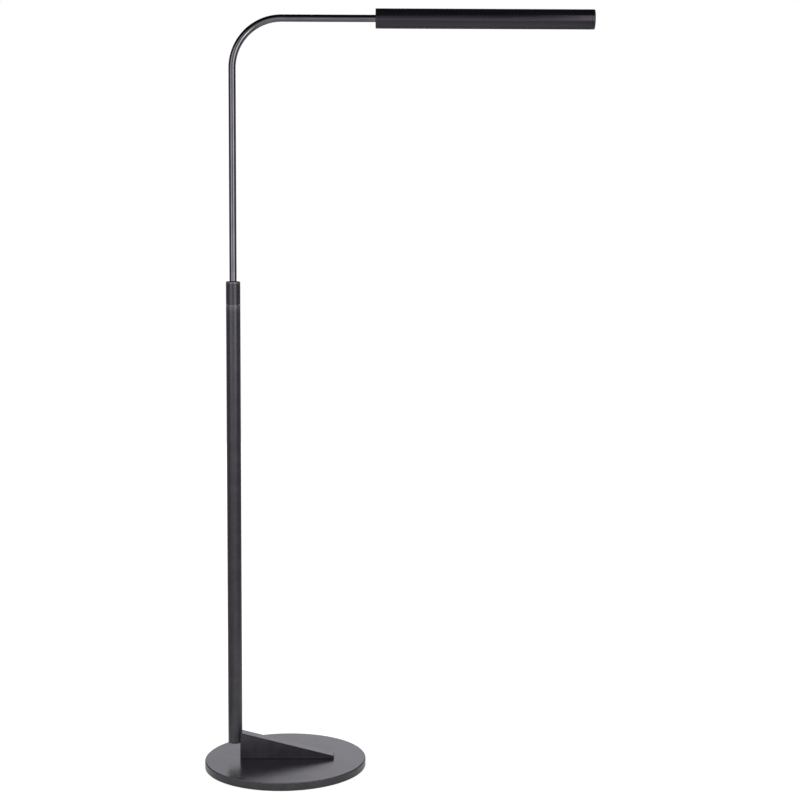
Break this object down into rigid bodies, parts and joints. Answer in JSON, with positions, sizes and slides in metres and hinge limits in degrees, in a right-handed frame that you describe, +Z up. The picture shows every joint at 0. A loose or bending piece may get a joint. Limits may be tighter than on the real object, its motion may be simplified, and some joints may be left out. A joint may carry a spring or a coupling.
{
  "type": "adjustable floor lamp",
  "caption": "Floor lamp: round base, wedge-mounted pole, thin bent tube that slides and turns in it, and a slim round linear head that turns on its axis over a slot with an opal strip.",
  "frame": {"origin": "centre of the round base's underside, on the floor", "axes": "+Z up along the pole, +X from the pole towards the head, +Y away from the picture's camera"},
  "size_m": [0.5945, 0.25, 1.166],
  "materials": {
    "dark_lacquered_steel": "satin dark bronze lacquer on steel",
    "gunmetal_plated_steel": "gunmetal plated, half bright",
    "dark_anodised_aluminium": "extruded aluminium, satin dark bronze finish",
    "black_rubber": "matte moulded rubber",
    "zinc_plated_steel": "zinc plated",
    "black_oxide_steel": "black oxide",
    "spring_steel": "blued spring steel",
    "turned_brass": "turned, uncoated",
    "black_nylon": "moulded",
    "white_nylon": "moulded",
    "extruded_aluminium": "extruded, uncoated",
    "white_solder_mask": "white solder mask",
    "phosphor_gel": "phosphor gel in a white case",
    "opal_acrylic": "opal, satin outside",
    "grey_button_plastic": "fine moulded"
  },
  "bodies": {
    "root": {"base_plate": "dark_lacquered_steel", "base_pad": "black_rubber", "base_screws": "zinc_plated_steel", "wedge_bracket": "dark_lacquered_steel", "wedge_stud": "zinc_plated_steel", "lower_pole": "dark_lacquered_steel", "pole_foot_plug": "turned_brass", "stud_set_screw": "black_oxide_steel", "cord_bushing": "black_rubber", "pole_nipple": "turned_brass", "clamp_collet": "black_nylon"},
    "collar": {"lock_collar": "dark_lacquered_steel", "wiper_ring": "black_rubber"},
    "slider": {"guide_bush": "black_nylon"},
    "arm": {"upper_tube": "gunmetal_plated_steel", "stop_collar": "turned_brass", "stop_collar_pin": "zinc_plated_steel", "retaining_ring": "spring_steel", "swivel_spindle": "turned_brass", "friction_washer": "black_nylon", "stop_washer": "zinc_plated_steel", "disc_spring": "spring_steel", "spindle_nut": "turned_brass"},
    "head": {"head_shell": "dark_anodised_aluminium", "inner_end_cap": "dark_anodised_aluminium", "outer_end_cap": "dark_anodised_aluminium", "end_cap_screws": "black_oxide_steel", "swivel_bush": "turned_brass", "swivel_stop_pins": "zinc_plated_steel", "led_carrier": "extruded_aluminium", "led_board": "white_solder_mask", "led_chips": "phosphor_gel", "board_screws": "zinc_plated_steel", "lead_terminal": "white_nylon", "dimmer_switch": "black_nylon", "diffuser": "opal_acrylic"},
    "button": {"dimmer_button": "grey_button_plastic"}
  },
  "joints": [
    {"name": "collar_turn", "type": "hinge", "parent": "root", "child": "collar", "pos_m": [-0.0785, 0, 0.7365], "axis": [0, 0, 1], "range_deg": [0, 90]},
    {"name": "height_slide", "type": "slide", "parent": "root", "child": "slider", "axis": [0, 0, 1], "range_m": [-0.3, 0.04]},
    {"name": "arm_turn", "type": "hinge", "parent": "slider", "child": "arm", "pos_m": [-0.0785, 0, 0.628], "axis": [0, 0, 1], "range_deg": [-165, 165]},
    {"name": "head_turn", "type": "hinge", "parent": "arm", "child": "head", "pos_m": [0.1385, 0, 1.151], "axis": [1, 0, 0], "range_deg": [-90, 90]},
    {"name": "button_press", "type": "slide", "parent": "head", "child": "button", "axis": [0, 0, 1], "range_m": [0, 0.0008], "stiffness_N_per_m": 400}
  ]
}
